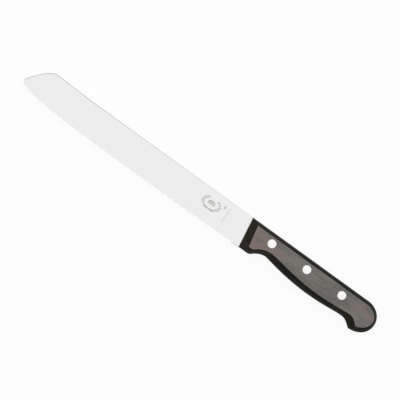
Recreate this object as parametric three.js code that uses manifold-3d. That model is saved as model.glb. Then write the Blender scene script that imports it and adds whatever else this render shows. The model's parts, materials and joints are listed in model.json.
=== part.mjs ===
// Bread knife: a scalloped steel blade whose tang runs on between two handle scales,
// held together by three two-piece rivets. Millimetres.
//
// The knife lies on its right side. +X points to the tip, +Y to the cutting edge and +Z out of
// the left face. Every piece is drawn from the corner where the spine meets the handle, at half
// the blade's thickness. The whole knife is then moved so that the origin is the middle of its
// bounding box's underside.

import * as THREE from 'three';
import { mergeVertices } from 'three/addons/utils/BufferGeometryUtils.js';
import Module from 'manifold-3d';

const wasm = await Module();
wasm.setup();

// ---- Driving dimensions ----

const steelThickness = 1.8;      // the spine and the tang
const bladeHeight = 26.8;        // spine to tooth tips, at the belly
const faceTaper = 0.35;          // how far each ground face falls in, spine to edge
const plunge = 2.0;              // bare steel left unground ahead of the handle

const toothPitch = 6.0;
const toothDepth = 0.95;         // from the tooth tips to the bottom of a scallop
const firstTooth = 4.5;          // plain edge from the point to the first tooth
const plainHeel = 3.0;           // straight edge left ahead of the handle
const grindAngle = THREE.MathUtils.degToRad(12);

const scaleThickness = 7.6;
const wallHeight = 2.8;          // upright part of a scale's side, from the tang
const flankStart = THREE.MathUtils.degToRad(30); // the arc of a circle that the flank follows,
const flankEnd = THREE.MathUtils.degToRad(60);   // stretched to the wall's top and the face's rim
const flankSteps = 4;

const rivetCount = 3;
const rivetPitch = 34.0;
const firstRivet = { x: -23.8, y: 8.05 };
const rivetDrop = 0.36;          // how much lower each rivet sits than the one before it
const headDiameter = 7.0;
const headThickness = 1.6;
const sleeveDiameter = 4.4;
const pinDiameter = 3.0;
const sleeveEnd = -4.0;          // height at which the hollow shank stops, from the tang's middle
const pinEnd = 4.8;              // height at which the solid shank stops
const pinEndGap = 0.25;          // left between the solid shank and the bottom of the hollow one
const fitClearance = 0.06;       // round every shank and head
const tangClearance = 0.12;      // round every shank in the tang's wider holes

const curveSteps = 9;            // straight pieces in each curved stretch of the handle's outline
const bladeCurveSteps = 24;      // and of the blade's, whose stretches are longer
const scallopSteps = 4;          // straight pieces in half a scallop
const roundSides = 32;           // sides of rivets and their holes
const cutterReach = 3;           // how far the cutting tools pass beyond the steel

// Outlines are lists of points. A heading is an angle in degrees, 0 towards the tip and 90 towards
// the cutting edge. `before` and `after` are how far the curve on either side of the point pulls
// along its heading, and a corner leaves on a heading of its own, `leave`.

// The outside of the handle, shared by the tang: front corner, round the underside, to the butt.
const rim = [
  { x: 0, y: 0 },
  { x: -4.1, y: 25.4 },
  { x: -12.0, y: 25.4, heading: 180, after: 2.6 },
  { x: -17.0, y: 22.6, heading: 217, before: 1.5, after: 3.0 },
  { x: -25.6, y: 19.3, heading: 180, before: 3.2, after: 3.0 },
  { x: -67.5, y: 23.8, heading: 180, before: 21.7, after: 19.4 },
  { x: -100.6, y: 21.8, heading: 180, before: 8.6, after: 3.7 },
  { x: -110.6, y: 26.7, heading: 142, before: 6.1, leave: 181, after: 7.9 },
  { x: -126.2, y: 13.3, heading: 270, before: 8.6, after: 8.7 },
  { x: -112.0, y: 0, heading: 360, before: 6.0 },
];

// The flat face of a scale, point for point inside the rim.
const face = [
  { x: -6.6, y: 2.8 },
  { x: -10.4, y: 20.6 },
  { x: -13.4, y: 20.6, heading: 180, after: 1.3 },
  { x: -17.2, y: 18.1, heading: 217, before: 1.8, after: 3.4 },
  { x: -28.4, y: 14.6, heading: 180, before: 4.9, after: 7.9 },
  { x: -75.0, y: 19.1, heading: 180, before: 24.8, after: 15.5 },
  { x: -105.4, y: 17.2, heading: 180, before: 5.7, after: 3.2 },
  { x: -114.4, y: 22.3, heading: 133, before: 4.6, leave: 196, after: 5.6 },
  { x: -123.9, y: 12.4, heading: 270, before: 4.6, after: 6.0 },
  { x: -111.5, y: 2.8, heading: 360, before: 6.5 },
];

// The blade ahead of the handle: spine, shoulder, point, belly and heel.
const spineEnd = { x: 150, y: 0.2, heading: 0, after: 15 };
const shoulder = { x: 190.9, y: -0.7, heading: 0, before: 10.2, leave: 17, after: 5.5 };
const point = { x: 209.5, y: 17.9, heading: 57, before: 12, leave: 103, after: 8.5 };
const belly = { x: 95, y: bladeHeight, heading: 180, before: 69, after: 30 };
const heel = { x: -3.6, y: 25.7, heading: 181.6, before: 30 };

// ---- Outlines ----

function along(from, heading, distance) {
  const angle = THREE.MathUtils.degToRad(heading);
  return new THREE.Vector2(
    from.x + distance * Math.cos(angle),
    from.y + distance * Math.sin(angle),
  );
}

function stretch(from, to) {
  const start = new THREE.Vector2(from.x, from.y);
  const end = new THREE.Vector2(to.x, to.y);
  if (!from.after && !to.before) {
    return new THREE.LineCurve(start, end);
  }
  const pullOut = along(from, from.leave ?? from.heading ?? 0, from.after ?? 0);
  const pullIn = along(to, to.heading ?? 0, -(to.before ?? 0));
  return new THREE.CubicBezierCurve(start, pullOut, pullIn, end);
}

function outline(points) {
  const shape = new THREE.Shape();
  for (let i = 1; i < points.length; i += 1) {
    shape.curves.push(stretch(points[i - 1], points[i]));
  }
  return shape;
}

// ---- Solids ----

function toSolid(geometry) {
  const bare = geometry.clone();
  bare.deleteAttribute('normal');
  bare.deleteAttribute('uv');
  const merged = mergeVertices(bare);
  return new wasm.Manifold(new wasm.Mesh({
    numProp: 3,
    vertProperties: merged.attributes.position.array,
    triVerts: Uint32Array.from(merged.index.array),
  }));
}

function toGeometry(solid) {
  const mesh = solid.getMesh();
  const geometry = new THREE.BufferGeometry();
  geometry.setAttribute('position', new THREE.BufferAttribute(mesh.vertProperties, 3));
  geometry.setIndex(new THREE.BufferAttribute(mesh.triVerts, 1));
  return geometry;
}

// Skins a stack of rings, lowest first. Each ring is { points, z } with as many points as the
// others, running anticlockwise seen from above.
function loft(rings) {
  const count = rings[0].points.length;
  const positions = rings.flatMap(({ points, z }) => points.flatMap((p) => [p.x, p.y, z]));
  const indices = [];
  for (let r = 1; r < rings.length; r += 1) {
    for (let i = 0; i < count; i += 1) {
      const next = (i + 1) % count;
      const below = (r - 1) * count;
      const above = r * count;
      indices.push(below + i, below + next, above + next);
      indices.push(below + i, above + next, above + i);
    }
  }
  const top = rings.length - 1;
  for (const [a, b, c] of THREE.ShapeUtils.triangulateShape(rings[0].points, [])) {
    indices.push(a, c, b);
  }
  for (const [a, b, c] of THREE.ShapeUtils.triangulateShape(rings[top].points, [])) {
    indices.push(top * count + a, top * count + b, top * count + c);
  }
  const geometry = new THREE.BufferGeometry();
  geometry.setAttribute('position', new THREE.Float32BufferAttribute(positions, 3));
  geometry.setIndex(indices);
  return geometry;
}

function cylinder(diameter, bottom, top, centre) {
  const geometry = new THREE.CylinderGeometry(diameter / 2, diameter / 2, top - bottom, roundSides);
  geometry.rotateX(Math.PI / 2);
  geometry.translate(centre.x, centre.y, (top + bottom) / 2);
  return geometry;
}

// ---- Rivet places ----

const tangSide = steelThickness / 2;
const faceHeight = tangSide + scaleThickness;
const rivets = Array.from({ length: rivetCount }, (_, i) => ({
  x: firstRivet.x - i * rivetPitch,
  y: firstRivet.y + i * rivetDrop,
}));

// ---- Blade ----

function groundFaceHeight(y) {
  return tangSide - faceTaper * y / bladeHeight;
}

// Everything outside one ground face, from the plunge to past the tip. The plunge runs down the
// blade parallel to the slanted front of the handle.
function faceCutter(side) {
  const [frontTop, frontFoot] = rim;
  const lean = (frontFoot.x - frontTop.x) / (frontFoot.y - frontTop.y);
  const past = bladeHeight + cutterReach;
  const clear = tangSide + cutterReach;
  const section = new THREE.Shape([
    new THREE.Vector2(0, side * tangSide),
    new THREE.Vector2(past, side * groundFaceHeight(past)),
    new THREE.Vector2(past, side * clear),
    new THREE.Vector2(0, side * clear),
  ]);
  const geometry = new THREE.ExtrudeGeometry(section, {
    depth: point.x + bladeHeight,
    bevelEnabled: false,
  });
  geometry.applyMatrix4(new THREE.Matrix4().makeBasis(
    new THREE.Vector3(0, 1, 0),
    new THREE.Vector3(0, 0, 1),
    new THREE.Vector3(1, 0, 0),
  ));
  geometry.translate(plunge, 0, 0);
  geometry.applyMatrix4(new THREE.Matrix4().makeShear(0, 0, lean, 0, 0, 0));
  return geometry;
}

// A shallow round-topped bar. Its crest runs along +Z through the origin, and the bar lies below
// it, towards -Y. Neighbouring bars cross half a pitch either side of their crests.
function scallopCutter() {
  const halfPitch = toothPitch / 2;
  const drop = toothDepth * Math.sin(grindAngle);
  const radius = (halfPitch ** 2 + drop ** 2) / (2 * drop);
  const halfWidth = halfPitch * 1.1;
  const spread = Math.asin(halfWidth / radius);
  const profile = new THREE.Shape();
  profile.moveTo(-halfWidth, -cutterReach);
  profile.lineTo(halfWidth, -cutterReach);
  profile.absarc(0, -radius, radius, Math.PI / 2 - spread, Math.PI / 2 + spread, false);
  return new THREE.ExtrudeGeometry(profile, {
    depth: bladeHeight / 2,
    bevelEnabled: false,
    curveSegments: scallopSteps,
  });
}

// The line through the tooth tips, from the point back to the heel, by distance along it.
function edgeLine() {
  const path = new THREE.CurvePath();
  path.add(stretch(point, belly));
  path.add(stretch(belly, heel));
  const length = path.getLength();
  const at = (distance) => path.getPointAt(distance / length);
  return { length, at };
}

function scallopCutters() {
  const edge = edgeLine();
  const up = new THREE.Vector3(0, 0, 1);
  const cutters = [];
  const lastStart = edge.length - plainHeel - toothPitch;
  for (let tooth = firstTooth; tooth < lastStart; tooth += toothPitch) {
    const ahead = edge.at(tooth);
    const behind = edge.at(tooth + toothPitch);
    const forward = new THREE.Vector3().subVectors(
      new THREE.Vector3(ahead.x, ahead.y, 0),
      new THREE.Vector3(behind.x, behind.y, 0),
    ).normalize();
    const inward = new THREE.Vector3(forward.y, -forward.x, 0);
    const crest = inward.clone().multiplyScalar(Math.cos(grindAngle))
      .addScaledVector(up, -Math.sin(grindAngle));
    const lift = new THREE.Vector3().crossVectors(crest, forward);
    const valley = new THREE.Vector3((ahead.x + behind.x) / 2, (ahead.y + behind.y) / 2, 0)
      .addScaledVector(inward, toothDepth);
    valley.z = groundFaceHeight(valley.y);
    valley.addScaledVector(crest, -cutterReach);
    const cutter = scallopCutter();
    cutter.applyMatrix4(new THREE.Matrix4().makeBasis(forward, lift, crest).setPosition(valley));
    cutters.push(cutter);
  }
  return cutters;
}

function bladeGeometry() {
  const tang = outline(rim.slice(1)).getPoints(curveSteps);
  const blade = outline([spineEnd, shoulder, point, belly, heel]).getPoints(bladeCurveSteps);
  const shape = new THREE.Shape([...tang, ...blade]);
  for (const rivet of rivets) {
    const hole = new THREE.Path();
    hole.absarc(rivet.x, rivet.y, sleeveDiameter / 2 + tangClearance, 0, 2 * Math.PI, true);
    shape.holes.push(hole);
  }
  const blank = new THREE.ExtrudeGeometry(shape, {
    depth: steelThickness,
    bevelEnabled: false,
    curveSegments: curveSteps,
  });
  blank.translate(0, 0, -tangSide);
  let solid = toSolid(blank);
  for (const cutter of [faceCutter(1), faceCutter(-1), ...scallopCutters()]) {
    solid = solid.subtract(toSolid(cutter));
  }
  return toGeometry(solid);
}

// ---- Scales ----

// The side of a scale, from the tang outwards: an upright wall, then a gently crowned flank that
// leans in and meets the face at a crisp line.
function scaleRings() {
  const outer = outline(rim).getPoints(curveSteps);
  const inner = outline(face).getPoints(curveSteps);
  const flankInset = Math.cos(flankStart) - Math.cos(flankEnd);
  const flankRise = Math.sin(flankEnd) - Math.sin(flankStart);
  const rings = [{ points: outer, z: tangSide }];
  for (let step = 0; step <= flankSteps; step += 1) {
    const turn = THREE.MathUtils.lerp(flankStart, flankEnd, step / flankSteps);
    const inwards = (Math.cos(flankStart) - Math.cos(turn)) / flankInset;
    const upwards = (Math.sin(turn) - Math.sin(flankStart)) / flankRise;
    rings.push({
      points: outer.map((p, i) => p.clone().lerp(inner[i], inwards)),
      z: tangSide + wallHeight + (scaleThickness - wallHeight) * upwards,
    });
  }
  return rings;
}

function scaleGeometry(side) {
  const rings = scaleRings().map(({ points, z }) => ({
    points: THREE.ShapeUtils.isClockWise(points) ? [...points].reverse() : points,
    z: side * z,
  }));
  if (side < 0) {
    rings.reverse();
  }
  let solid = toSolid(loft(rings));
  const deep = faceHeight + cutterReach;
  const headSeat = faceHeight - headThickness - fitClearance;
  for (const rivet of rivets) {
    const [low, high] = side > 0 ? [0, deep] : [-deep, 0];
    const [seatLow, seatHigh] = side > 0 ? [headSeat, deep] : [-deep, -headSeat];
    const shankHole = cylinder(sleeveDiameter + 2 * fitClearance, low, high, rivet);
    const headHole = cylinder(headDiameter + 2 * fitClearance, seatLow, seatHigh, rivet);
    solid = solid.subtract(toSolid(shankHole)).subtract(toSolid(headHole));
  }
  return toGeometry(solid);
}

// ---- Rivets ----

function turned(profile) {
  const points = profile.map(([radius, height]) => new THREE.Vector2(radius, height));
  const geometry = new THREE.LatheGeometry(points, roundSides);
  geometry.rotateX(Math.PI / 2);
  return geometry;
}

// The half with the hollow shank. Its head is flush with the left face.
function sleeveGeometry() {
  const bore = pinDiameter / 2 + fitClearance;
  return turned([
    [0, pinEnd + pinEndGap],
    [bore, pinEnd + pinEndGap],
    [bore, sleeveEnd],
    [sleeveDiameter / 2, sleeveEnd],
    [sleeveDiameter / 2, faceHeight - headThickness],
    [headDiameter / 2, faceHeight - headThickness],
    [headDiameter / 2, faceHeight],
    [0, faceHeight],
  ]);
}

// The half with the solid shank, driven into the hollow one. Its head is flush with the right face.
function pinGeometry() {
  return turned([
    [0, -faceHeight],
    [headDiameter / 2, -faceHeight],
    [headDiameter / 2, headThickness - faceHeight],
    [pinDiameter / 2, headThickness - faceHeight],
    [pinDiameter / 2, pinEnd],
    [0, pinEnd],
  ]);
}

// ---- Materials and assembly ----

function steel() {
  return new THREE.MeshStandardMaterial({ color: 0xd9dadb, roughness: 0.32, metalness: 1 });
}

function darkWood() {
  return new THREE.MeshStandardMaterial({ color: 0x4a4039, roughness: 0.45, metalness: 0 });
}

function rivetMetal() {
  return new THREE.MeshStandardMaterial({ color: 0xe4e2df, roughness: 0.25, metalness: 1 });
}

function named(name, geometry, material) {
  const mesh = new THREE.Mesh(geometry, material);
  mesh.name = name;
  return mesh;
}

const knife = new THREE.Group();
knife.add(named('blade', bladeGeometry(), steel()));
knife.add(named('left_scale', scaleGeometry(1), darkWood()));
knife.add(named('right_scale', scaleGeometry(-1), darkWood()));

['front', 'middle', 'rear'].forEach((place, i) => {
  const rivet = new THREE.Group();
  rivet.position.set(rivets[i].x, rivets[i].y, 0);
  rivet.add(named(`${place}_rivet_sleeve`, sleeveGeometry(), rivetMetal()));
  rivet.add(named(`${place}_rivet_pin`, pinGeometry(), rivetMetal()));
  knife.add(rivet);
});

const box = new THREE.Box3().setFromObject(knife);
const centre = box.getCenter(new THREE.Vector3());
knife.position.set(-centre.x, -centre.y, -box.min.z);

export default knife;
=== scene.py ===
"""Bread knife: the finished look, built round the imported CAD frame.

Shapes are drawn in millimetres from the corner where the spine meets the handle, at half the
blade's thickness, with x towards the tip, y towards the cutting edge and z out of the left face.
`to_frame` then puts them in the frame's metres.
"""

import json
import math

import bmesh
import bpy
from mathutils import Matrix, Vector

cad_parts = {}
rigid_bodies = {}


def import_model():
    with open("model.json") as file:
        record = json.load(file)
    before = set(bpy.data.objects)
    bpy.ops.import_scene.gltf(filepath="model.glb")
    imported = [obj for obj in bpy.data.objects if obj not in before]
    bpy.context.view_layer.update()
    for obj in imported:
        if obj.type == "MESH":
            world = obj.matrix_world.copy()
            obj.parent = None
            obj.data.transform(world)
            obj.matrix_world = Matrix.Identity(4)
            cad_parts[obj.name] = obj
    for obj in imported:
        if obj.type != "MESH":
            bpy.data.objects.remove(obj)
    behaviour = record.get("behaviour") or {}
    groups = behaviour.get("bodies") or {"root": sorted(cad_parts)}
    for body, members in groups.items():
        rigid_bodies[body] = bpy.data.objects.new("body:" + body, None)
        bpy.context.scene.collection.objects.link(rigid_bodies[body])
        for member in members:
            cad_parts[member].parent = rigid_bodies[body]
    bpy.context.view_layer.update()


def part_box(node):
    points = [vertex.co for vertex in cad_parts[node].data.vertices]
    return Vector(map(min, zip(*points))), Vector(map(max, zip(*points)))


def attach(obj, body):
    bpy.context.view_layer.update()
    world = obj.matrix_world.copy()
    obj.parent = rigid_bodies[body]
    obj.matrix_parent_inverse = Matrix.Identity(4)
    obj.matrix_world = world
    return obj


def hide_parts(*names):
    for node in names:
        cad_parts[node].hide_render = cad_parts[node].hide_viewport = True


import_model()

# ---- Driving dimensions, in millimetres ----

MM = 0.001
HANDLE_LENGTH = 126.2
STEEL = 1.8                     # thickness of the spine and the tang
TANG_SIDE = STEEL / 2
FACE_HEIGHT = TANG_SIDE + 7.6   # from the middle of the tang to a scale's flat face
BLADE_HEIGHT = 26.8
SPINE_DROP = 0.09               # step down from the handle's straight side to the spine
FACE_TAPER = 0.35               # how far each ground face falls in, spine to edge
PLUNGE = 2.0                    # unground steel ahead of the handle
PLUNGE_LENGTH = 4.0             # over which the grind runs out
TANG_EASE = 0.12                # how far in the steel's rounding reaches: round the tang,
SPINE_EASE = 0.9                # along the blade's spine,
TIP_EASE = 1.15                 # round its tip
EDGE_EASE = 0.32                # and along the cutting edge
SPINE_EASED = 12                # where the spine's rounding is complete
EASE_RUN = 3                    # over which one rounding turns into the next at the tip
BACK_FLATNESS = 0.65            # the rounding's height over its width: on the back
EDGE_FLATNESS = 0.6             # and on the edge
EASE_STEPS = 6

TOOTH_PITCH = 6.0
TOOTH_DEPTH = 0.95
FIRST_TOOTH = 4.5               # length of plain edge at the point
PLAIN_HEEL = 3.0                # least length of plain edge at the handle
SCALLOP_OVERLAP = 1.1           # width of the grinding tool over the pitch
GRIND_ANGLE = math.radians(12)
REACH = 3                       # how far the cutting tools pass beyond what they cut

WALL_TOP = TANG_SIDE + 2.8      # where a scale's upright wall ends
FLANK_START = math.radians(30)  # part of a circle that the flank above it is stretched from
FLANK_END = math.radians(60)
FLANK_STEPS = 12
CORNER_EASE = 0.9               # rounding where a scale's wall turns into its flank
CORNER_STEPS = 8
CORNER_SHARE = 0.15             # of the flank, taken up by that rounding
FLANK_STOP = 0.985              # shares of the way in between which the flank
FACE_START = 1.02               # turns into the flat face
SEAM_EASE = 0.1                 # rounding of a scale's edge against the tang

HEAD_DIAMETER = 7.0
HEAD_THICKNESS = 1.6
HEAD_EASE = 0.1                 # chamfer round each rivet head
HEAD_CROWN = 0.02               # how far a head's rim lies below its middle
SLEEVE_DIAMETER = 4.4
PIN_DIAMETER = 3.0
SLEEVE_END = -4.0
PIN_END = 4.8
PIN_END_GAP = 0.25
FIT_GAP = 0.06
TANG_GAP = 0.12

CURVE_STEPS = 24
EDGE_STEPS = 200
SCALLOP_STEPS = 16
PLUNGE_STEPS = 8
ROUND_SIDES = 96

SHARP_FOLD = 35                 # angle in degrees from which a fold looks crisp,
SCALLOP_FOLD = 5                # the same where two scallops meet
FACE_FOLD = 1                   # and round a flat face
FLAT = 0.9995                   # least upright part of a flat face's normal
GROUND_FLAT = 0.9               # and of a ground scallop's,
GROUND_LEAN = 0.02              # with the least part of it towards the edge
RIM_SLOPE = 0.95                # most upright part of a normal on the steel's rounded rim
FACE_MARGIN = 0.01              # what lies this close below a scale's flat face belongs to it
SHARPEST = 0.4                  # limits how far a sharp corner moves when its sides move in

# Outlines are lists of points. A heading is in degrees, 0 towards the tip and 90 towards the
# cutting edge. `before` and `after` are how far the curve pulls along it on either side of the
# point, and a corner leaves on a heading of its own, `leave`.

RIM = [
    dict(x=0, y=0),
    dict(x=-4.1, y=25.4),
    dict(x=-12.0, y=25.4, heading=180, after=2.6),
    dict(x=-17.0, y=22.6, heading=217, before=1.5, after=3.0),
    dict(x=-25.6, y=19.3, heading=180, before=3.2, after=3.0),
    dict(x=-67.5, y=23.8, heading=180, before=21.7, after=19.4),
    dict(x=-100.6, y=21.8, heading=180, before=8.6, after=3.7),
    dict(x=-110.6, y=26.7, heading=142, before=6.1, leave=181, after=7.9),
    dict(x=-HANDLE_LENGTH, y=13.3, heading=270, before=8.6, after=8.7),
    dict(x=-112.0, y=0, heading=360, before=6.0),
]

FACE = [
    dict(x=-6.6, y=2.8),
    dict(x=-10.4, y=20.6),
    dict(x=-13.4, y=20.6, heading=180, after=1.3),
    dict(x=-17.2, y=18.1, heading=217, before=1.8, after=3.4),
    dict(x=-28.4, y=14.6, heading=180, before=4.9, after=7.9),
    dict(x=-75.0, y=19.1, heading=180, before=24.8, after=15.5),
    dict(x=-105.4, y=17.2, heading=180, before=5.7, after=3.2),
    dict(x=-114.4, y=22.3, heading=133, before=4.6, leave=196, after=5.6),
    dict(x=-123.9, y=12.4, heading=270, before=4.6, after=6.0),
    dict(x=-111.5, y=2.8, heading=360, before=6.5),
]

GRIND_START = dict(x=PLUNGE, y=SPINE_DROP)
GRIND_FULL = dict(x=PLUNGE + PLUNGE_LENGTH, y=SPINE_DROP)
SPINE_END = dict(x=150, y=0.2, heading=0, after=15)
SHOULDER = dict(x=190.9, y=-0.7, heading=0, before=10.2, leave=17, after=5.5)
POINT = dict(x=209.5, y=17.9, heading=57, before=12, leave=103, after=8.5)
BELLY = dict(x=95, y=BLADE_HEIGHT, heading=180, before=69, after=30)
HEEL = dict(x=-3.6, y=25.7, heading=181.6, before=30)

MARK = Vector((33.0, 10.4))     # middle of the ornament etched on the left face
WREATH = Vector((7.3, 4.6))     # its half length and half height
RIBBON = Vector((4.6, 0.45))
RULE = Vector((18.3, 11.1))     # middle of the dashes beside it
DOT = Vector((22.3, 6.6))

# ---- Picture, floor and sky, in metres ----

VIEW_MIDDLE = Vector((41.92, 13.31, TANG_SIDE)) * MM
VIEW_WIDTH = 0.3134
VIEW_SLOPE = math.radians(35.9)  # of the blade in the picture
VIEW_DISTANCE = 6.0

FLOOR_SIZE = 6
FLOOR_DROP = 0.0002             # keeps the floor clear of the handle that lies on it

# A direction's reach along each axis where the sky's glow has faded out, and where it is full.
SKY_GLOW = [("Z", 0.95, 0.25), ("Y", -0.6, 0.1)]
SKY_DARK = 0.06
SKY_BRIGHT = 0.5

# ---- Colours, as red, green and blue from 0 to 1 ----

# The flat face's wood is the handle's wood painted lighter: a painted sheen, as from light falling
# on the face.
LIT_FACE_WOOD = dict(
    dark=(0.126, 0.119, 0.106),
    light=(0.207, 0.193, 0.171),
    warm=(0.231, 0.171, 0.149),
    rough=0.34,
)
# The flank's wood is the same wood painted near-black: painted shade on the sloping flanks.
SHADED_FLANK_WOOD = dict(
    dark=(0.0128, 0.0124, 0.0091),
    light=(0.0208, 0.0202, 0.0146),
    warm=(0.029, 0.0262, 0.0194),
    rough=0.5,
    Specular_IOR_Level=0.05,
)
ETCHED = (0.21, 0.185, 0.135)
ALUMINIUM = [(0.78, 0.775, 0.765), (0.82, 0.815, 0.80)]
SHADED_GROUND_STEEL = [0.55, 0.63]     # darkest and lightest grey, darker than the satin steel as painted shade on the rounded rim
SATIN_STEEL = [0.72, 0.74]
FLOOR_GREY = 0.08
FLOOR_GLOW = 0.915

# ---- The frame's places ----

scale_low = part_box("left_scale")[0]
corner = scale_low + Vector((HANDLE_LENGTH, 0, -TANG_SIDE)) * MM
to_frame = Matrix.Translation(corner) @ Matrix.Scale(MM, 4)


def rivet_place(place):
    low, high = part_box(f"{place}_rivet_pin")
    middle = (low + high) / 2 - corner
    return Vector((middle.x, middle.y)) / MM


RIVETS = {place: rivet_place(place) for place in ("front", "middle", "rear")}

# ---- Outlines ----


def along(point, heading, distance):
    angle = math.radians(heading)
    return Vector((point["x"], point["y"])) + distance * Vector((math.cos(angle), math.sin(angle)))


def stretch(start, end, steps):
    """Points from start to end, start included and end not."""
    first = Vector((start["x"], start["y"]))
    last = Vector((end["x"], end["y"]))
    if "after" not in start and "before" not in end:
        return [first]
    out = along(start, start.get("leave", start.get("heading", 0)), start.get("after", 0))
    back = along(end, end.get("heading", 0), -end.get("before", 0))
    points = []
    for i in range(steps):
        t = i / steps
        s = 1 - t
        points.append(s**3 * first + 3 * s * s * t * out + 3 * s * t * t * back + t**3 * last)
    return points


def outline(stations, steps=CURVE_STEPS, closed=True):
    ends = stations[1:] + stations[:1] if closed else stations[1:]
    points = [p for a, b in zip(stations, ends) for p in stretch(a, b, steps)]
    if not closed:
        points.append(Vector((stations[-1]["x"], stations[-1]["y"])))
    return points


def inward_steps(points):
    """For each point of a closed outline, the move that brings both of its sides in by one."""
    moves = []
    for before, here, after in zip(points[-1:] + points[:-1], points, points[1:] + points[:1]):
        side_a = (here - before).normalized()
        side_b = (after - here).normalized()
        inwards = Vector((-side_a.y - side_b.y, side_a.x + side_b.x)).normalized()
        moves.append(inwards / max(SHARPEST, inwards.dot(Vector((-side_a.y, side_a.x)))))
    return moves


def smooth(value, start, end):
    """0 at start, 1 at end and beyond, and an S-curve between them."""
    t = min(1, max(0, (value - start) / (end - start)))
    return t * t * (3 - 2 * t)


# ---- Mesh building ----


def level(points, z):
    return [Vector((p.x, p.y, z)) for p in points]


def loft(rings):
    """A closed mesh through rings that have equally many points."""
    bm = bmesh.new()
    rows = [[bm.verts.new(p) for p in ring] for ring in rings]
    for lower, upper in zip(rows, rows[1:]):
        for i in range(len(lower)):
            bm.faces.new((lower[i - 1], lower[i], upper[i], upper[i - 1]))
    bm.faces.new(rows[0])
    bm.faces.new(rows[-1])
    bmesh.ops.recalc_face_normals(bm, faces=bm.faces[:])
    return bm


def circle(centre, diameter):
    turns = [math.tau * i / ROUND_SIDES for i in range(ROUND_SIDES)]
    return [centre + diameter / 2 * Vector((math.cos(a), math.sin(a))) for a in turns]


def cylinder(centre, diameter, low, high):
    ring = circle(centre, diameter)
    return loft([level(ring, low), level(ring, high)])


def to_object(name, bm):
    mesh = bpy.data.meshes.new(name)
    bm.to_mesh(mesh)
    bm.free()
    piece = bpy.data.objects.new(name, mesh)
    bpy.context.scene.collection.objects.link(piece)
    return piece


def cut(piece, cutters):
    """Takes each cutter out of piece."""
    tools = bpy.data.collections.new("cutters")
    for index, bm in enumerate(cutters):
        tool = to_object(f"cutter_{index}", bm)
        bpy.context.scene.collection.objects.unlink(tool)
        tools.objects.link(tool)
    bpy.context.scene.collection.children.link(tools)
    modifier = piece.modifiers.new("cut", "BOOLEAN")
    modifier.operation = "DIFFERENCE"
    modifier.solver = "EXACT"
    modifier.operand_type = "COLLECTION"
    modifier.collection = tools
    evaluated = piece.evaluated_get(bpy.context.evaluated_depsgraph_get())
    carved = bpy.data.meshes.new_from_object(evaluated)
    piece.modifiers.clear()
    piece.data = carved
    for tool in list(tools.objects):
        bpy.data.objects.remove(tool)
    bpy.data.collections.remove(tools)


def crease(piece):
    """Smooth shading, but crisp round every flat face and where two scallops meet."""
    bm = bmesh.new()
    bm.from_mesh(piece.data)
    for face in bm.faces:
        face.smooth = True
    for edge in bm.edges:
        if len(edge.link_faces) != 2:
            continue
        first, second = (face.normal for face in edge.link_faces)
        limit = SHARP_FOLD
        if min(abs(first.z), abs(second.z)) > GROUND_FLAT and min(first.y, second.y) > GROUND_LEAN:
            limit = SCALLOP_FOLD
        if max(abs(first.z), abs(second.z)) > FLAT:
            limit = FACE_FOLD
        edge.smooth = edge.calc_face_angle(0) < math.radians(limit)
    bm.to_mesh(piece.data)
    bm.free()


# ---- Blade ----


def ground_height(x, y):
    """Half the steel's thickness: full on the tang, tapering from spine to edge on the blade."""
    lean = (RIM[1]["x"] - RIM[0]["x"]) / RIM[1]["y"]
    ground = smooth(x - lean * y, PLUNGE, PLUNGE + PLUNGE_LENGTH)
    return TANG_SIDE - FACE_TAPER * ground * max(0, y) / BLADE_HEIGHT


def eased_rings(points, reach, squash):
    """The steel's left half from its side to its face, rounded by each point's own reach."""
    moves = inward_steps(points)
    rings = []
    for k in range(EASE_STEPS + 1):
        turn = math.pi / 2 * k / EASE_STEPS
        ring = []
        for point, move, ease, flatness in zip(points, moves, reach, squash):
            place = point + move * ease * (1 - math.cos(turn))
            ring.append(Vector((*place, TANG_SIDE - flatness * ease * (1 - math.sin(turn)))))
        rings.append(ring)
    return rings


def back_ease(place, tip):
    """How far in the rounding reaches from a place on the back."""
    turn = SHOULDER["x"]
    ease = TANG_EASE + (SPINE_EASE - TANG_EASE) * smooth(place.x, PLUNGE, SPINE_EASED)
    ease += (TIP_EASE - SPINE_EASE) * smooth(place.x, turn - EASE_RUN, turn + EASE_RUN)
    return ease + (EDGE_EASE - ease) * smooth((place - tip).length, EASE_RUN, 0)


def divide_plunge(bm):
    """Adds edges across the steel in front of the handle, so that the plunge can curve."""
    across = Vector((1, -RIM[1]["x"] / RIM[1]["y"], 0))
    for k in range(PLUNGE_STEPS + 1):
        place = Vector((PLUNGE + PLUNGE_LENGTH * k / PLUNGE_STEPS, 0, 0))
        everything = bm.verts[:] + bm.edges[:] + bm.faces[:]
        bmesh.ops.bisect_plane(bm, geom=everything, plane_co=place, plane_no=across)


def blank():
    """The blade and tang before the scallops are ground."""
    back = outline(RIM[1:] + [GRIND_START, GRIND_FULL, SPINE_END, SHOULDER, POINT], closed=False)
    edge = outline([POINT, BELLY, HEEL], closed=False)[1:]
    reach = [back_ease(place, back[-1]) for place in back] + [EDGE_EASE] * len(edge)
    squash = [BACK_FLATNESS] * len(back) + [EDGE_FLATNESS] * len(edge)
    left = eased_rings(back + edge, reach, squash)
    right = [[Vector((p.x, p.y, -p.z)) for p in ring] for ring in reversed(left)]
    bm = loft(right + left)
    divide_plunge(bm)
    for vertex in bm.verts:
        vertex.co.z *= ground_height(vertex.co.x, vertex.co.y) / TANG_SIDE
    return bm


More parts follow.
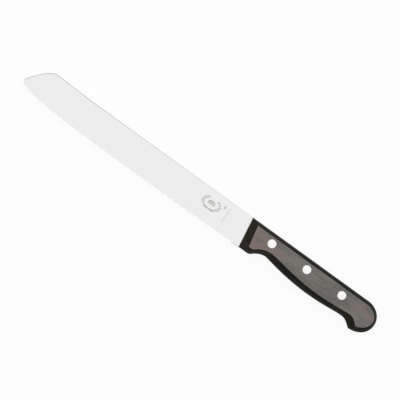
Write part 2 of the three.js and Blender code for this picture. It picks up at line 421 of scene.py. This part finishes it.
def grind_cutter(ahead, behind, depth, section):
    """A bar lying under the edge whose top climbs through the steel to the left face.

    `section` is its outline as (place along the edge, height) from the middle of its top.
    """
    forward = (ahead - behind).normalized().to_3d()
    inward = Vector((forward.y, -forward.x, 0))
    crest = inward * math.cos(GRIND_ANGLE) - Vector((0, 0, math.sin(GRIND_ANGLE)))
    lift = crest.cross(forward)
    valley = ((ahead + behind) / 2).to_3d() + inward * depth
    valley.z = ground_height(valley.x, valley.y)
    ends = []
    for reach in (-REACH, BLADE_HEIGHT / 2):
        ends.append([valley + forward * u + lift * w + crest * reach for u, w in section])
    return loft(ends)


def scallop_section():
    half = TOOTH_PITCH / 2
    drop = TOOTH_DEPTH * math.sin(GRIND_ANGLE)
    radius = (half * half + drop * drop) / (2 * drop)
    spread = math.asin(SCALLOP_OVERLAP * half / radius)
    section = []
    for i in range(SCALLOP_STEPS + 1):
        turn = spread * (1 - 2 * i / SCALLOP_STEPS)
        section.append((radius * math.sin(turn), radius * math.cos(turn) - radius))
    return section + [(section[-1][0], -REACH), (section[0][0], -REACH)]


def edge_places(distances):
    """Points on the line through the tooth tips, at distances from the point of the blade."""
    points = outline([POINT, BELLY, HEEL], EDGE_STEPS, closed=False)
    places = []
    walked = 0
    pairs = list(zip(points, points[1:]))
    for distance in distances:
        while walked + (pairs[0][1] - pairs[0][0]).length < distance:
            walked += (pairs[0][1] - pairs[0][0]).length
            pairs.pop(0)
        start, end = pairs[0]
        places.append(start.lerp(end, (distance - walked) / (end - start).length))
    return places


def edge_length():
    points = outline([POINT, BELLY, HEEL], EDGE_STEPS, closed=False)
    return sum((b - a).length for a, b in zip(points, points[1:]))


def grinding():
    """Every cutter that sharpens the blade: one plain pass at the point, then the scallops."""
    room = edge_length() - PLAIN_HEEL - FIRST_TOOTH
    teeth = math.floor(room / TOOTH_PITCH) + 1
    tips = edge_places([0] + [FIRST_TOOTH + TOOTH_PITCH * i for i in range(teeth)])
    half = FIRST_TOOTH / 2
    plain = [(half + REACH, 0), (-half, 0), (-half, -REACH), (half + REACH, -REACH)]
    cutters = [grind_cutter(tips[0], tips[1], 0, plain)]
    for ahead, behind in zip(tips[1:], tips[2:]):
        cutters.append(grind_cutter(ahead, behind, TOOTH_DEPTH, scallop_section()))
    return cutters


def blade():
    piece = to_object("blade_steel", blank())
    bore = SLEEVE_DIAMETER + 2 * TANG_GAP
    holes = [cylinder(centre, bore, -REACH, REACH) for centre in RIVETS.values()]
    cut(piece, grinding() + holes)
    return piece


# ---- Scales ----


def flank(share):
    """How far in and how high the gently crowned flank is, at a share of the way up it."""
    turn = FLANK_START + (FLANK_END - FLANK_START) * share
    width = math.cos(FLANK_START) - math.cos(FLANK_END)
    height = math.sin(FLANK_END) - math.sin(FLANK_START)
    inwards = (math.cos(FLANK_START) - math.cos(turn)) / width
    upwards = (math.sin(turn) - math.sin(FLANK_START)) / height
    return inwards, WALL_TOP + (FACE_HEIGHT - WALL_TOP) * upwards


def side_profile():
    """The side of a scale from the tang outwards, as (share of the way in, height)."""
    last_in, last_up = flank(CORNER_SHARE)
    profile = [(0, TANG_SIDE + SEAM_EASE)]
    for i in range(CORNER_STEPS + 1):
        t = i / CORNER_STEPS
        wall = (1 - t) ** 2 * (WALL_TOP - CORNER_EASE) + 2 * t * (1 - t) * WALL_TOP
        profile.append((t * t * last_in, wall + t * t * last_up))
    for i in range(1, FLANK_STEPS):
        profile.append(flank(CORNER_SHARE + (1 - CORNER_SHARE) * i / FLANK_STEPS))
    profile.append(flank(FLANK_STOP))
    profile.append((FACE_START, FACE_HEIGHT))
    return profile


def scale(side):
    outer = outline(RIM)
    inner = outline(FACE)
    seam = [p + move * SEAM_EASE for p, move in zip(outer, inward_steps(outer))]
    rings = [level(seam, side * TANG_SIDE)]
    for inwards, height in side_profile():
        rings.append(level([a.lerp(b, inwards) for a, b in zip(outer, inner)], side * height))
    piece = to_object("scale_left" if side > 0 else "scale_right", loft(rings))
    seat = side * (FACE_HEIGHT - HEAD_THICKNESS - FIT_GAP)
    beyond = side * (FACE_HEIGHT + REACH)
    cutters = []
    for centre in RIVETS.values():
        cutters.append(cylinder(centre, HEAD_DIAMETER + 2 * FIT_GAP, seat, beyond))
        cutters.append(cylinder(centre, SLEEVE_DIAMETER + 2 * FIT_GAP, 0, beyond))
    cut(piece, cutters)
    return piece


# ---- Rivets ----


def turned(name, centre, profile):
    """A closed body turned from a profile of (radius, height) that starts and ends on the axis."""
    bm = bmesh.new()
    poles = [bm.verts.new((centre.x, centre.y, profile[i][1])) for i in (0, -1)]
    rows = []
    for radius, height in profile[1:-1]:
        rows.append([bm.verts.new(p) for p in level(circle(centre, 2 * radius), height)])
    for i in range(ROUND_SIDES):
        bm.faces.new((poles[0], rows[0][i - 1], rows[0][i]))
        bm.faces.new((poles[1], rows[-1][i], rows[-1][i - 1]))
        for lower, upper in zip(rows, rows[1:]):
            bm.faces.new((lower[i - 1], lower[i], upper[i], upper[i - 1]))
    bmesh.ops.recalc_face_normals(bm, faces=bm.faces[:])
    return to_object(name, bm)


def head(side):
    """A rivet's head from the shank to the middle of its flush top, very slightly crowned."""
    rim = HEAD_DIAMETER / 2
    rim_height = FACE_HEIGHT - HEAD_CROWN
    points = [
        (rim, FACE_HEIGHT - HEAD_THICKNESS),
        (rim, rim_height - HEAD_EASE),
        (rim - HEAD_EASE / 3, rim_height - HEAD_EASE / 3),
        (rim - HEAD_EASE, rim_height),
        (rim / 2, FACE_HEIGHT - HEAD_CROWN / 4),
        (0, FACE_HEIGHT),
    ]
    return [(radius, side * height) for radius, height in points]


def sleeve(place):
    """The half with the hollow shank, its head in the left face."""
    bore = PIN_DIAMETER / 2 + FIT_GAP
    shank = SLEEVE_DIAMETER / 2
    bottom = PIN_END + PIN_END_GAP
    inside = [(0, bottom), (bore, bottom), (bore, SLEEVE_END)]
    outside = [(shank, SLEEVE_END), (shank, FACE_HEIGHT - HEAD_THICKNESS)]
    return turned(f"rivet_sleeve_{place}", RIVETS[place], inside + outside + head(1))


def pin(place):
    """The half with the solid shank, its head in the right face."""
    shank = PIN_DIAMETER / 2
    profile = [(0, PIN_END), (shank, PIN_END), (shank, HEAD_THICKNESS - FACE_HEIGHT)]
    return turned(f"rivet_pin_{place}", RIVETS[place], profile + head(-1))


# ---- Materials ----


class Signal:
    """A value travelling through a material's nodes, on which ordinary sums can be done."""

    def __init__(self, nodes, socket):
        self.nodes = nodes
        self.socket = socket

    def sum(self, operation, *others):
        return self.nodes.math(operation, self, *others)

    def __add__(self, other):
        return self.sum("ADD", other)

    def __sub__(self, other):
        return self.sum("SUBTRACT", other)

    def __mul__(self, other):
        return self.sum("MULTIPLY", other)

    def __truediv__(self, other):
        return self.sum("DIVIDE", other)

    def size(self):
        return self.sum("ABSOLUTE")

    def repeat(self):
        """The part after the decimal point, from -0.5 to 0.5 about the middle of each repeat."""
        return self.sum("FRACT") - 0.5

    def over(self, edge, softness=0.1):
        """1 where the value is above edge and 0 where it is below."""
        return self.nodes.ramp(self, edge - softness / 2, edge + softness / 2)

    def under(self, edge, softness=0.1):
        return self.nodes.ramp(self, edge - softness / 2, edge + softness / 2, 1, 0)

    def most(self, other):
        return self.sum("MAXIMUM", other)


class Nodes:
    """One material, with short names for adding nodes to it. Places are in millimetres."""

    def __init__(self, name, **constants):
        self.material = bpy.data.materials.new(name)
        self.material.use_nodes = True
        self.tree = self.material.node_tree
        self.shader = self.tree.nodes["Principled BSDF"]
        for socket, value in constants.items():
            self.shader.inputs[socket.replace("_", " ")].default_value = value
        metres = self.add("ShaderNodeTexCoord").outputs["Object"]
        self.place = self.add("ShaderNodeMapping", {
            "Vector": metres, "Location": -corner / MM, "Scale": (1 / MM,) * 3,
        }).outputs[0]
        parts = self.add("ShaderNodeSeparateXYZ", {"Vector": self.place})
        self.x, self.y, self.z = (Signal(self, socket) for socket in parts.outputs)

    def add(self, kind, inputs=None, **settings):
        node = self.tree.nodes.new(kind)
        for key, value in settings.items():
            setattr(node, key, value)
        for key, value in (inputs or {}).items():
            self.feed(node.inputs[key], value)
        return node

    def feed(self, socket, value):
        if isinstance(value, Signal):
            value = value.socket
        if isinstance(value, bpy.types.NodeSocket):
            self.tree.links.new(value, socket)
        else:
            socket.default_value = value

    def math(self, operation, *values):
        node = self.add("ShaderNodeMath", operation=operation)
        for socket, value in zip(node.inputs, values):
            self.feed(socket, value)
        return Signal(self, node.outputs[0])

    def ramp(self, value, low, high, start=0.0, end=1.0):
        """value rescaled smoothly from low..high to start..end."""
        node = self.add("ShaderNodeMapRange", {
            "Value": value, "From Min": low, "From Max": high, "To Min": start, "To Max": end,
        }, interpolation_type="SMOOTHSTEP")
        return Signal(self, node.outputs[0])

    def noise(self, per_mm, detail=3.0, roughness=0.5, offset=(0, 0, 0), distortion=0.0):
        """Noise from 0 to 1, with its own number of ups and downs per millimetre on each axis."""
        place = self.add("ShaderNodeMapping", {
            "Vector": self.place, "Scale": per_mm, "Location": offset,
        })
        node = self.add("ShaderNodeTexNoise", {
            "Vector": place.outputs[0], "Scale": 1.0, "Detail": detail,
            "Roughness": roughness, "Distortion": distortion,
        })
        return Signal(self, node.outputs["Fac"])

    def mix(self, share, first, second):
        node = self.add("ShaderNodeMix", data_type="RGBA")
        self.feed(node.inputs[0], share)
        self.feed(node.inputs[6], first)
        self.feed(node.inputs[7], second)
        return node.outputs[2]

    def bump(self, height, strength, distance):
        node = self.add("ShaderNodeBump", {
            "Height": height, "Strength": strength, "Distance": distance * MM,
        })
        self.feed(self.shader.inputs["Normal"], node.outputs[0])

    def set(self, socket, value):
        self.feed(self.shader.inputs[socket], value)


def colour(red, green, blue):
    return (red, green, blue, 1)


def grey(value):
    return colour(value, value, value)


def oval(n, across, down, half_length, half_height):
    """Distance from a place to the middle of an oval, as a multiple of the oval's own size."""
    return n.math("SQRT", n.math("POWER", across / half_length, 2)
                  + n.math("POWER", down / half_height, 2))


def wreath(n):
    """Two ears of wheat, curved round an oval that is open at the top."""
    leaves_per_radian = 2.6
    lean = 0.9
    top = 2.6
    across = n.x - MARK.x
    down = n.y - MARK.y
    from_stem = ((oval(n, across, down, WREATH.x, WREATH.y) - 1) * 6).size()
    turn = n.math("ARCTAN2", across.size() / WREATH.x, down / WREATH.y)
    along_stem = (turn * leaves_per_radian).repeat() * 1.9 - (from_stem - 0.6) * lean
    leaves = oval(n, from_stem - 0.65, along_stem, 0.45, 0.62).under(0.95, 0.3)
    stem = from_stem.under(0.12, 0.1)
    return leaves.most(stem) * turn.over(0.12, 0.05) * turn.under(top, 0.05)


def loaf(n):
    """A loaf of bread, seen from its side, with slashes across its crust."""
    slash_spacing = 1.7
    across = n.x - MARK.x
    down = n.y - MARK.y - 0.6
    dome = oval(n, across, down, 3.4, 3.2)
    body = dome.under(1, 0.06) * down.under(0.4, 0.2)
    slash = ((across + down * 0.5) / slash_spacing).repeat().size().under(0.16, 0.06)
    crust = dome.under(0.8, 0.05) * down.under(-0.1, 0.2)
    return body - slash * crust * 0.9


def ribbon(n):
    """A short bar under the wreath."""
    length = (n.x - MARK.x).size().under(RIBBON.x, 0.3)
    return (n.y - MARK.y - WREATH.y).size().under(RIBBON.y, 0.2) * length


def dashes(n):
    """A plain broken rule beside the ornament, with a dot at its head."""
    spacing = 1.6
    half_length = 6.7
    half_width = 0.8
    across = (n.x - RULE.x).size().under(half_width, 0.4)
    along_rule = (n.y - RULE.y).size().under(half_length, 0.4)
    rule = (n.y / spacing).repeat().size().under(0.3, 0.1) * across * along_rule
    dot = oval(n, n.x - DOT.x, n.y - DOT.y, 1, 1.5).under(1, 0.3)
    return rule * 0.3 + dot * 0.5


def shaded_ground_steel():
    """The coarser, duller grinding on the blade's rounded rim; its darker grey is painted shade
    along the rim.
    """
    n = Nodes("shaded_ground_steel", Metallic=1.0)
    grit = n.noise((6, 6, 3), detail=2.0)
    n.set("Base Color", n.mix(n.ramp(grit, 0.3, 0.7), *map(grey, SHADED_GROUND_STEEL)))
    n.set("Roughness", n.ramp(grit, 0.3, 0.7, 0.3, 0.42))
    n.bump(grit, 0.2, 0.02)
    return n.material


def blade_steel():
    """Satin steel: hairlines run from the spine to the edge, with a few finer rubs along it."""
    n = Nodes("blade_steel", Metallic=1.0)
    hairlines = n.noise((4.2, 0.05, 0.06), detail=2.0)
    rubs = n.noise((0.04, 2.6, 0.06), detail=2.0, offset=(3, 1, 0))
    clouds = n.noise((0.03, 0.06, 0.04), offset=(7, 2, 0))
    wipes = n.noise((0.12, 0.25, 0.2), detail=4.0, offset=(1, 8, 0))
    tone = hairlines * 0.5 + clouds * 0.5
    bare = n.mix(n.ramp(tone, 0.3, 0.7), *map(grey, SATIN_STEEL))
    left_face = n.z.over(0.2, 0.05)
    worn = n.ramp(n.noise((1.1, 1.1, 1.1), offset=(4, 4, 0)), 0.35, 0.6, 0.45, 1)
    ornament = (wreath(n).most(ribbon(n)) * 0.75).most(loaf(n) * 0.6)
    etching = ornament.most(dashes(n)) * left_face * worn
    n.set("Base Color", n.mix(etching, bare, colour(*ETCHED)))
    satin = n.ramp(clouds + rubs * 0.3 + wipes * 0.3, 0.5, 1.1, 0.26, 0.32)
    n.set("Roughness", satin + etching * 0.2)
    n.bump(hairlines + rubs * 0.4 - etching * 0.6, 0.25, 0.02)
    return n.material


def wood(name, dark, light, warm, rough, **constants):
    """Close-grained wood: long streaks, fine pores and slow drifts of colour along the handle."""
    n = Nodes(name, **constants)
    grain = n.noise((0.05, 0.9, 0.9), detail=5.0, roughness=0.6, distortion=0.4)
    streaks = n.noise((0.04, 1.3, 1.3), detail=4.0, offset=(9, 3, 0))
    pores = n.noise((0.22, 4.5, 4.5), detail=2.0, offset=(5, 0, 0))
    drift = n.noise((0.035, 0.09, 0.08), detail=2.0, offset=(2, 4, 0))
    tone = grain * 0.4 + streaks * 0.25 + drift * 0.35
    base = n.mix(n.ramp(tone, 0.43, 0.57), colour(*dark), colour(*light))
    patches = n.noise((0.06, 0.15, 0.1), detail=2.0, offset=(0, 6, 1))
    ruddy = n.ramp(patches + n.ramp(n.x, -45, -8, 0, 0.18), 0.48, 0.72)
    base = n.mix(ruddy, base, colour(*warm))
    pits = n.ramp(pores, 0.60, 0.72)
    n.set("Base Color", n.mix(pits * 0.55, base, colour(*(0.4 * c for c in dark))))
    n.set("Roughness", n.ramp(grain, 0.3, 0.7, rough - 0.06, rough + 0.06) + pits * 0.15)
    n.bump(grain * 0.4 - pits, 0.35, 0.05)
    return n.material


def rivet_metal():
    """Aluminium sanded flush along with the wood, with small nicks."""
    n = Nodes("rivet_metal", Metallic=1.0)
    sanding = n.noise((0.3, 5.2, 0.3), detail=2.0)
    nicks = n.noise((0.9, 0.9, 0.9), detail=4.0)
    dull, bright = (colour(*tint) for tint in ALUMINIUM)
    n.set("Base Color", n.mix(n.ramp(nicks, 0.35, 0.7), dull, bright))
    n.set("Roughness", n.ramp(sanding, 0.3, 0.7, 0.22, 0.34))
    n.bump(sanding + nicks * 0.3, 0.2, 0.02)
    return n.material


def pale_floor():
    n = Nodes("pale_floor", Roughness=0.9)
    n.set("Base Color", grey(FLOOR_GREY))
    n.set("Emission Color", grey(1))
    n.set("Emission Strength", FLOOR_GLOW)
    return n.material


# ---- Putting it together ----


def settle(piece, node):
    """Moves a finished piece into the frame and hides the CAD part it takes the place of."""
    crease(piece)
    piece.data.transform(to_frame)
    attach(piece, "root")
    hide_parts(node)


def build_blade():
    piece = blade()
    piece.data.materials.append(blade_steel())
    piece.data.materials.append(shaded_ground_steel())
    # Faces leaning off the flat take the rim steel, whose darker grey is painted shade.
    for face in piece.data.polygons:
        face.material_index = int(abs(face.normal.z) < RIM_SLOPE)
    settle(piece, "blade")


def build_scales():
    # Flank and face get shaded and lit copies of one wood: painted shade on the flank, painted
    # sheen on the flat face.
    shaded_flank_finish = wood("scale_flank_painted_shade", **SHADED_FLANK_WOOD)
    lit_face_finish = wood("scale_face_painted_sheen", **LIT_FACE_WOOD)
    for side, name in ((1, "left"), (-1, "right")):
        piece = scale(side)
        piece.data.materials.append(shaded_flank_finish)
        piece.data.materials.append(lit_face_finish)
        # Faces at the flat face's height take the painted-sheen wood, the rest the painted-shade
        # wood.
        for face in piece.data.polygons:
            face.material_index = int(face.center.z * side > FACE_HEIGHT - FACE_MARGIN)
        settle(piece, f"{name}_scale")


def build_rivets():
    metal = rivet_metal()
    for place in RIVETS:
        for make, half in ((sleeve, "sleeve"), (pin, "pin")):
            piece = make(place)
            piece.data.materials.append(metal)
            settle(piece, f"{place}_rivet_{half}")


# ---- Floor, light and camera ----


def floor():
    bpy.ops.mesh.primitive_plane_add(size=FLOOR_SIZE, location=(0, 0, -FLOOR_DROP))
    plane = bpy.context.object
    plane.name = "floor"
    plane.data.materials.append(pale_floor())


def softbox(name, place, size, watts):
    """A square light facing the knife."""
    light = bpy.data.lights.new(name, "AREA")
    light.shape = "SQUARE"
    light.size = size
    light.energy = watts
    box = bpy.data.objects.new(name, light)
    box.location = place
    box.rotation_euler = (-Vector(place)).to_track_quat("-Z", "Y").to_euler()
    bpy.context.scene.collection.objects.link(box)


def sky():
    """Dark above, with a glow low down on the cutting edge's side, where there is no softbox."""
    world = bpy.data.worlds.new("studio")
    world.use_nodes = True
    tree = world.node_tree
    background = tree.nodes["Background"]
    direction = tree.nodes.new("ShaderNodeTexCoord").outputs["Generated"]
    parts = tree.nodes.new("ShaderNodeSeparateXYZ")
    tree.links.new(direction, parts.inputs[0])
    shares = tree.nodes.new("ShaderNodeMath")
    shares.operation = "MULTIPLY"
    for slot, (axis, dark, bright) in enumerate(SKY_GLOW):
        fade = tree.nodes.new("ShaderNodeMapRange")
        fade.inputs["From Min"].default_value = dark
        fade.inputs["From Max"].default_value = bright
        tree.links.new(parts.outputs[axis], fade.inputs["Value"])
        tree.links.new(fade.outputs[0], shares.inputs[slot])
    strength = tree.nodes.new("ShaderNodeMapRange")
    strength.inputs["To Min"].default_value = SKY_DARK
    strength.inputs["To Max"].default_value = SKY_BRIGHT
    tree.links.new(shares.outputs[0], strength.inputs["Value"])
    tree.links.new(strength.outputs[0], background.inputs["Strength"])
    background.inputs["Color"].default_value = grey(1)
    bpy.context.scene.world = world


def lighting():
    sky()
    softbox("overhead", place=(0, -0.1, 1.2), size=1.5, watts=8.1)
    softbox("spine_side", place=(0.1, -1.2, 0.9), size=1.4, watts=3.6)
    softbox("tip_side", place=(1.1, -0.6, 0.8), size=1.0, watts=3.7)
    softbox("butt_side", place=(-1.1, -0.6, 0.8), size=1.0, watts=1.6)


def camera():
    """Square to the blade's left face, with the tip to the upper left."""
    data = bpy.data.cameras.new("camera")
    data.lens = data.sensor_width * VIEW_DISTANCE / VIEW_WIDTH
    eye = bpy.data.objects.new("camera", data)
    eye.location = corner + VIEW_MIDDLE + Vector((0, 0, VIEW_DISTANCE))
    eye.rotation_euler = (0, 0, math.pi + VIEW_SLOPE)
    bpy.context.scene.collection.objects.link(eye)
    bpy.context.scene.camera = eye


build_blade()
build_scales()
build_rivets()
floor()
lighting()
camera()
bpy.context.scene.view_settings.view_transform = "Standard"
